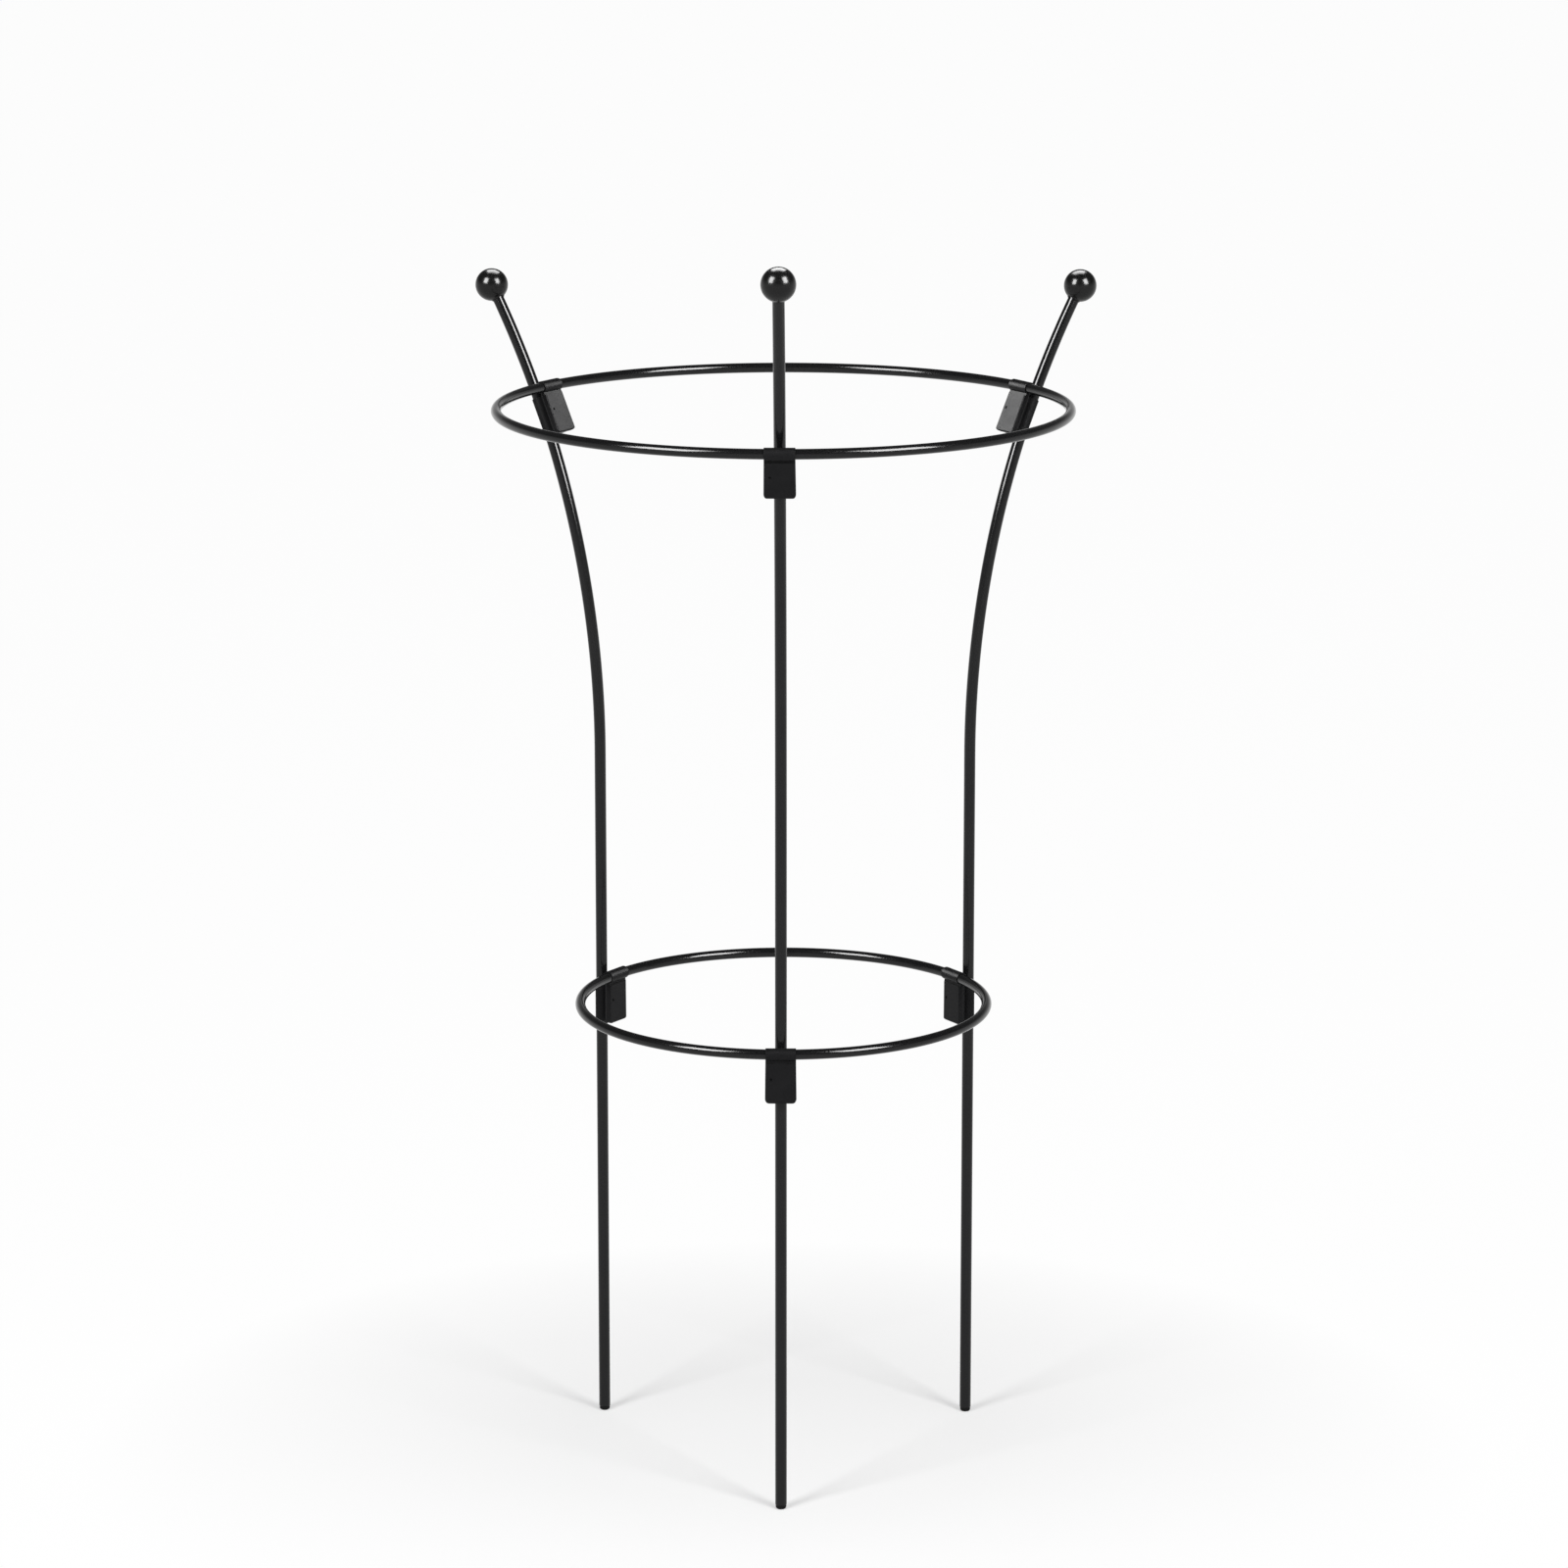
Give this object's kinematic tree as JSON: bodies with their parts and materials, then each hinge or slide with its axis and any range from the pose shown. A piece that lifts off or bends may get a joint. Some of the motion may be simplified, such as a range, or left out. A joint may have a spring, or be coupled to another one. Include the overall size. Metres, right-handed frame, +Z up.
{
  "type": "plant support stake",
  "caption": "Free-standing plant support: bowed tube legs with ball tops hold a wide upper ring and a smaller lower ring in moulded clips; the lower ring slides up and down.",
  "frame": {"origin": "on the ground, on the axis of the lower ring, where the plant grows", "axes": "+Z up, -Y to the front (the leg that stands inside the rings), +X to the right seen from the front"},
  "size_m": [0.437, 0.4626, 0.8755],
  "materials": {
    "black_coat": "gloss",
    "black_ball": "polished",
    "charcoal_clip": "satin",
    "black_plug": "satin"
  },
  "bodies": {
    "stand": {"leg_front": "black_coat", "leg_rear_left": "black_coat", "leg_rear_right": "black_coat", "finial_front": "black_ball", "finial_rear_left": "black_ball", "finial_rear_right": "black_ball", "foot_plug_front": "black_plug", "foot_plug_rear_left": "black_plug", "foot_plug_rear_right": "black_plug", "upper_ring": "black_coat", "upper_clip_front": "charcoal_clip", "upper_clip_rear_left": "charcoal_clip", "upper_clip_rear_right": "charcoal_clip"},
    "sliding_ring": {"lower_ring": "black_coat", "lower_clip_front": "charcoal_clip", "lower_clip_rear_left": "charcoal_clip", "lower_clip_rear_right": "charcoal_clip"}
  },
  "joints": [
    {"name": "lower_ring_slide", "type": "slide", "parent": "stand", "child": "sliding_ring", "axis": [0, 0, 1], "range_m": [-0.25, 0.155]}
  ]
}
